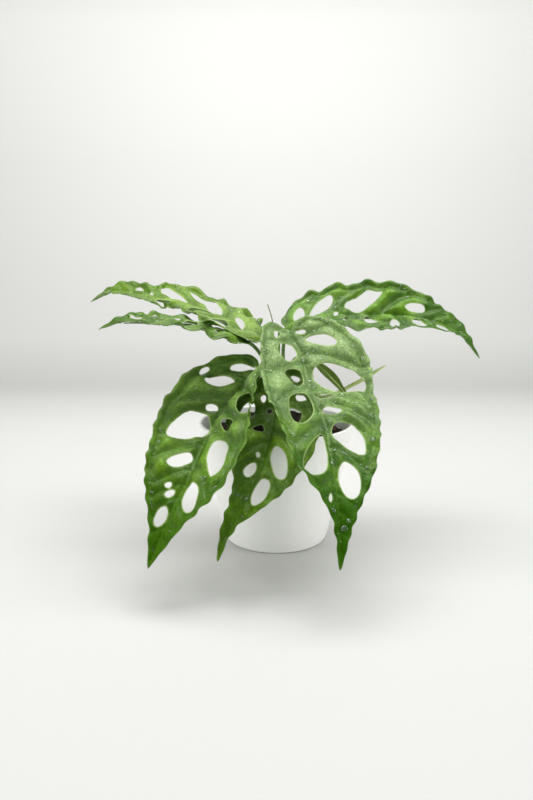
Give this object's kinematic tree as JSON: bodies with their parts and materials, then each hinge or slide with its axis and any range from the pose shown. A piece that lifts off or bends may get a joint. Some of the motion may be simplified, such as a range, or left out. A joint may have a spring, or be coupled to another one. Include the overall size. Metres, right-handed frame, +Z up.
{
  "type": "potted monstera obliqua peru",
  "caption": "Small aroid with deeply holed, waved leaves on thin stalks, growing from a short stem in a tapered white planter filled with dark potting mix.",
  "frame": {"origin": "centre of the pot's flat base, on the surface that it stands on", "axes": "+Z up along the pot's axis, +X to the right and -Y towards the viewer, on the side of the three hanging leaves"},
  "size_m": [0.3165, 0.2267, 0.1997],
  "materials": {
    "pot": "satin",
    "soil": "matte",
    "stem": "satin",
    "leaf": "satin",
    "young_leaf": "satin",
    "spear": "satin",
    "dry_sheath": "matte"
  },
  "bodies": {
    "root": {"pot": "pot", "soil": "soil", "stem": "stem", "leaf_front": "leaf", "leaf_front_left": "leaf", "leaf_middle": "leaf", "leaf_right": "leaf", "leaf_back_left": "leaf", "leaf_left": "leaf", "leaf_young": "young_leaf", "leaf_spear": "spear", "sheath_tip": "dry_sheath"}
  },
  "joints": []
}
